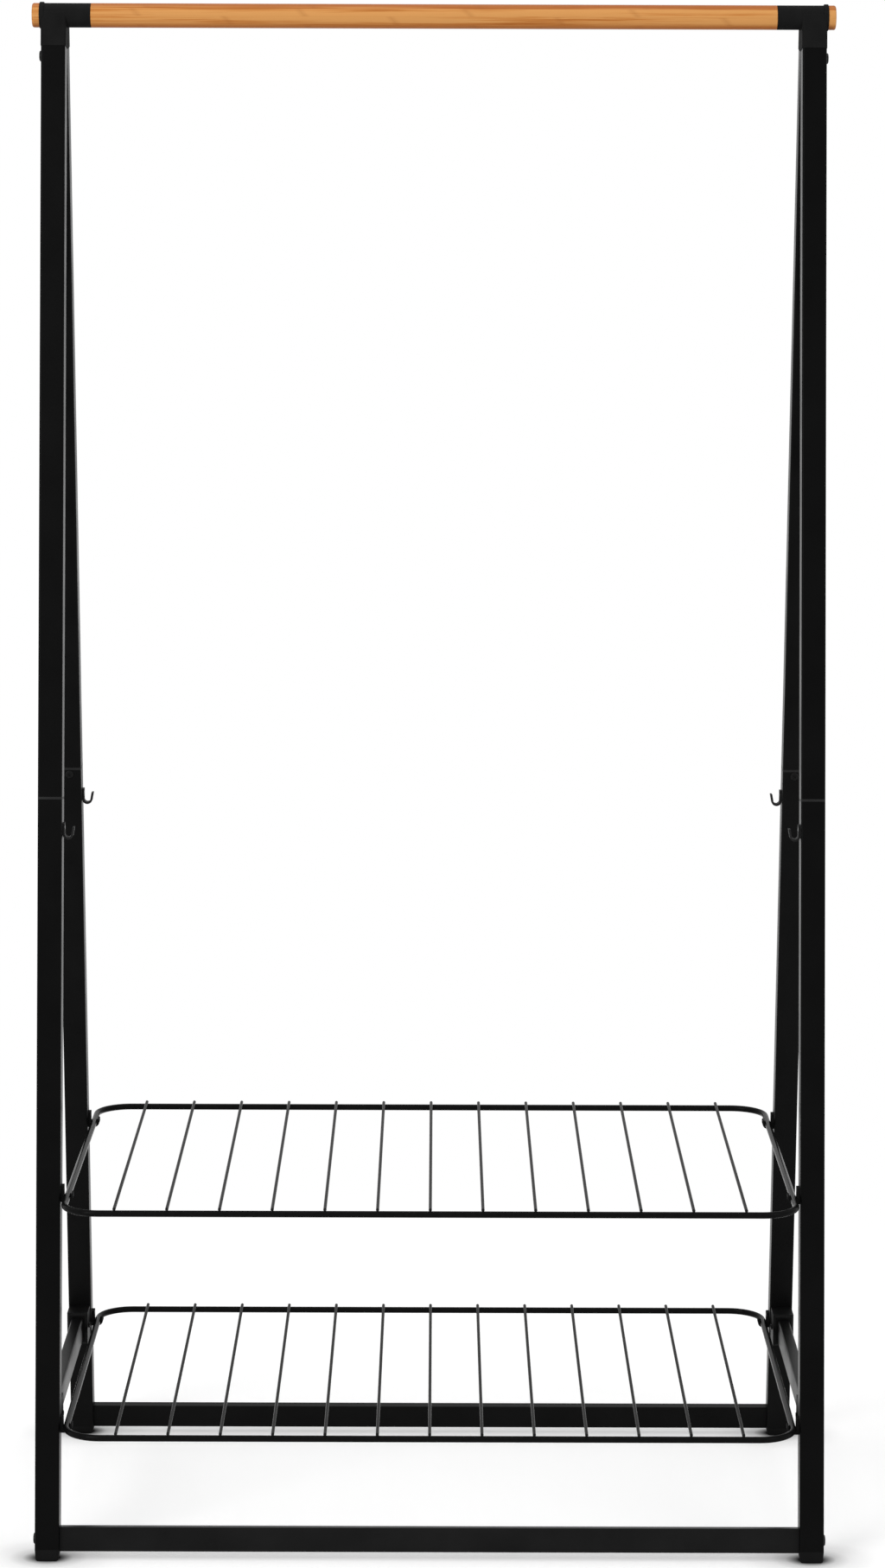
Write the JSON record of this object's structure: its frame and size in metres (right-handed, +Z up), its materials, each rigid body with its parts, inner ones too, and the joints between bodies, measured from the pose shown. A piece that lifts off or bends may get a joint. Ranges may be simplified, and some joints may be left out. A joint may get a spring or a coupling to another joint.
{
  "type": "garment rail",
  "caption": "Free-standing clothes rail: round wooden bar on splayed square-tube legs, with lift-out wire shelves, side stays and small hooks.",
  "frame": {"origin": "on the floor under the middle of the rail", "axes": "+Z up; X along the rail; the front is -Y"},
  "size_m": [0.9916, 0.576, 1.899],
  "materials": {
    "bamboo": "clear lacquered bamboo, lengthwise grain",
    "powder_coat": "satin black powder coat",
    "gloss_wire": "glossy black coat",
    "moulded_black": "matt black moulding",
    "joiner_grey": "dark grey moulding, seen as a line round each leg joint",
    "foot_black": "matt black moulding",
    "hook_black": "satin black",
    "fastener_black": "black oxide"
  },
  "bodies": {
    "frame": {"clip_screws": "fastener_black", "coat_hook_back_left": "hook_black", "coat_hook_back_right": "hook_black", "coat_hook_front_left": "hook_black", "coat_hook_front_right": "hook_black", "crossbar_back": "powder_coat", "crossbar_bolts": "fastener_black", "crossbar_front": "powder_coat", "crossbar_plug_back_left": "moulded_black", "crossbar_plug_back_right": "moulded_black", "crossbar_plug_front_left": "moulded_black", "crossbar_plug_front_right": "moulded_black", "end_knob_left": "bamboo", "end_knob_right": "bamboo", "foot_back_left": "foot_black", "foot_back_right": "foot_black", "foot_front_left": "foot_black", "foot_front_right": "foot_black", "hook_screws": "fastener_black", "hub_bolts": "fastener_black", "hub_left": "moulded_black", "hub_right": "moulded_black", "joint_bolts": "fastener_black", "leg_joiner_back_left": "joiner_grey", "leg_joiner_back_right": "joiner_grey", "leg_joiner_front_left": "joiner_grey", "leg_joiner_front_right": "joiner_grey", "lower_leg_back_left": "powder_coat", "lower_leg_back_right": "powder_coat", "lower_leg_front_left": "powder_coat", "lower_leg_front_right": "powder_coat", "lower_shelf_clip_back_left": "moulded_black", "lower_shelf_clip_back_right": "moulded_black", "lower_shelf_clip_front_left": "moulded_black", "lower_shelf_clip_front_right": "moulded_black", "rail": "bamboo", "rail_screws": "fastener_black", "side_stay_left": "powder_coat", "side_stay_right": "powder_coat", "stay_bracket_back_left": "moulded_black", "stay_bracket_back_right": "moulded_black", "stay_bracket_front_left": "moulded_black", "stay_bracket_front_right": "moulded_black", "stay_screws": "fastener_black", "upper_leg_back_left": "powder_coat", "upper_leg_back_right": "powder_coat", "upper_leg_front_left": "powder_coat", "upper_leg_front_right": "powder_coat", "upper_shelf_clip_back_left": "moulded_black", "upper_shelf_clip_back_right": "moulded_black", "upper_shelf_clip_front_left": "moulded_black", "upper_shelf_clip_front_right": "moulded_black"},
    "upper_shelf": {"upper_shelf_frame": "gloss_wire", "upper_shelf_wires": "gloss_wire"},
    "lower_shelf": {"lower_shelf_frame": "gloss_wire", "lower_shelf_wires": "gloss_wire"}
  },
  "joints": [
    {"name": "upper_shelf_lift", "type": "slide", "parent": "frame", "child": "upper_shelf", "axis": [0, 0, 1], "range_m": [0, 0.3]},
    {"name": "lower_shelf_lift", "type": "slide", "parent": "frame", "child": "lower_shelf", "axis": [0, 0, 1], "range_m": [0, 0.2]}
  ]
}
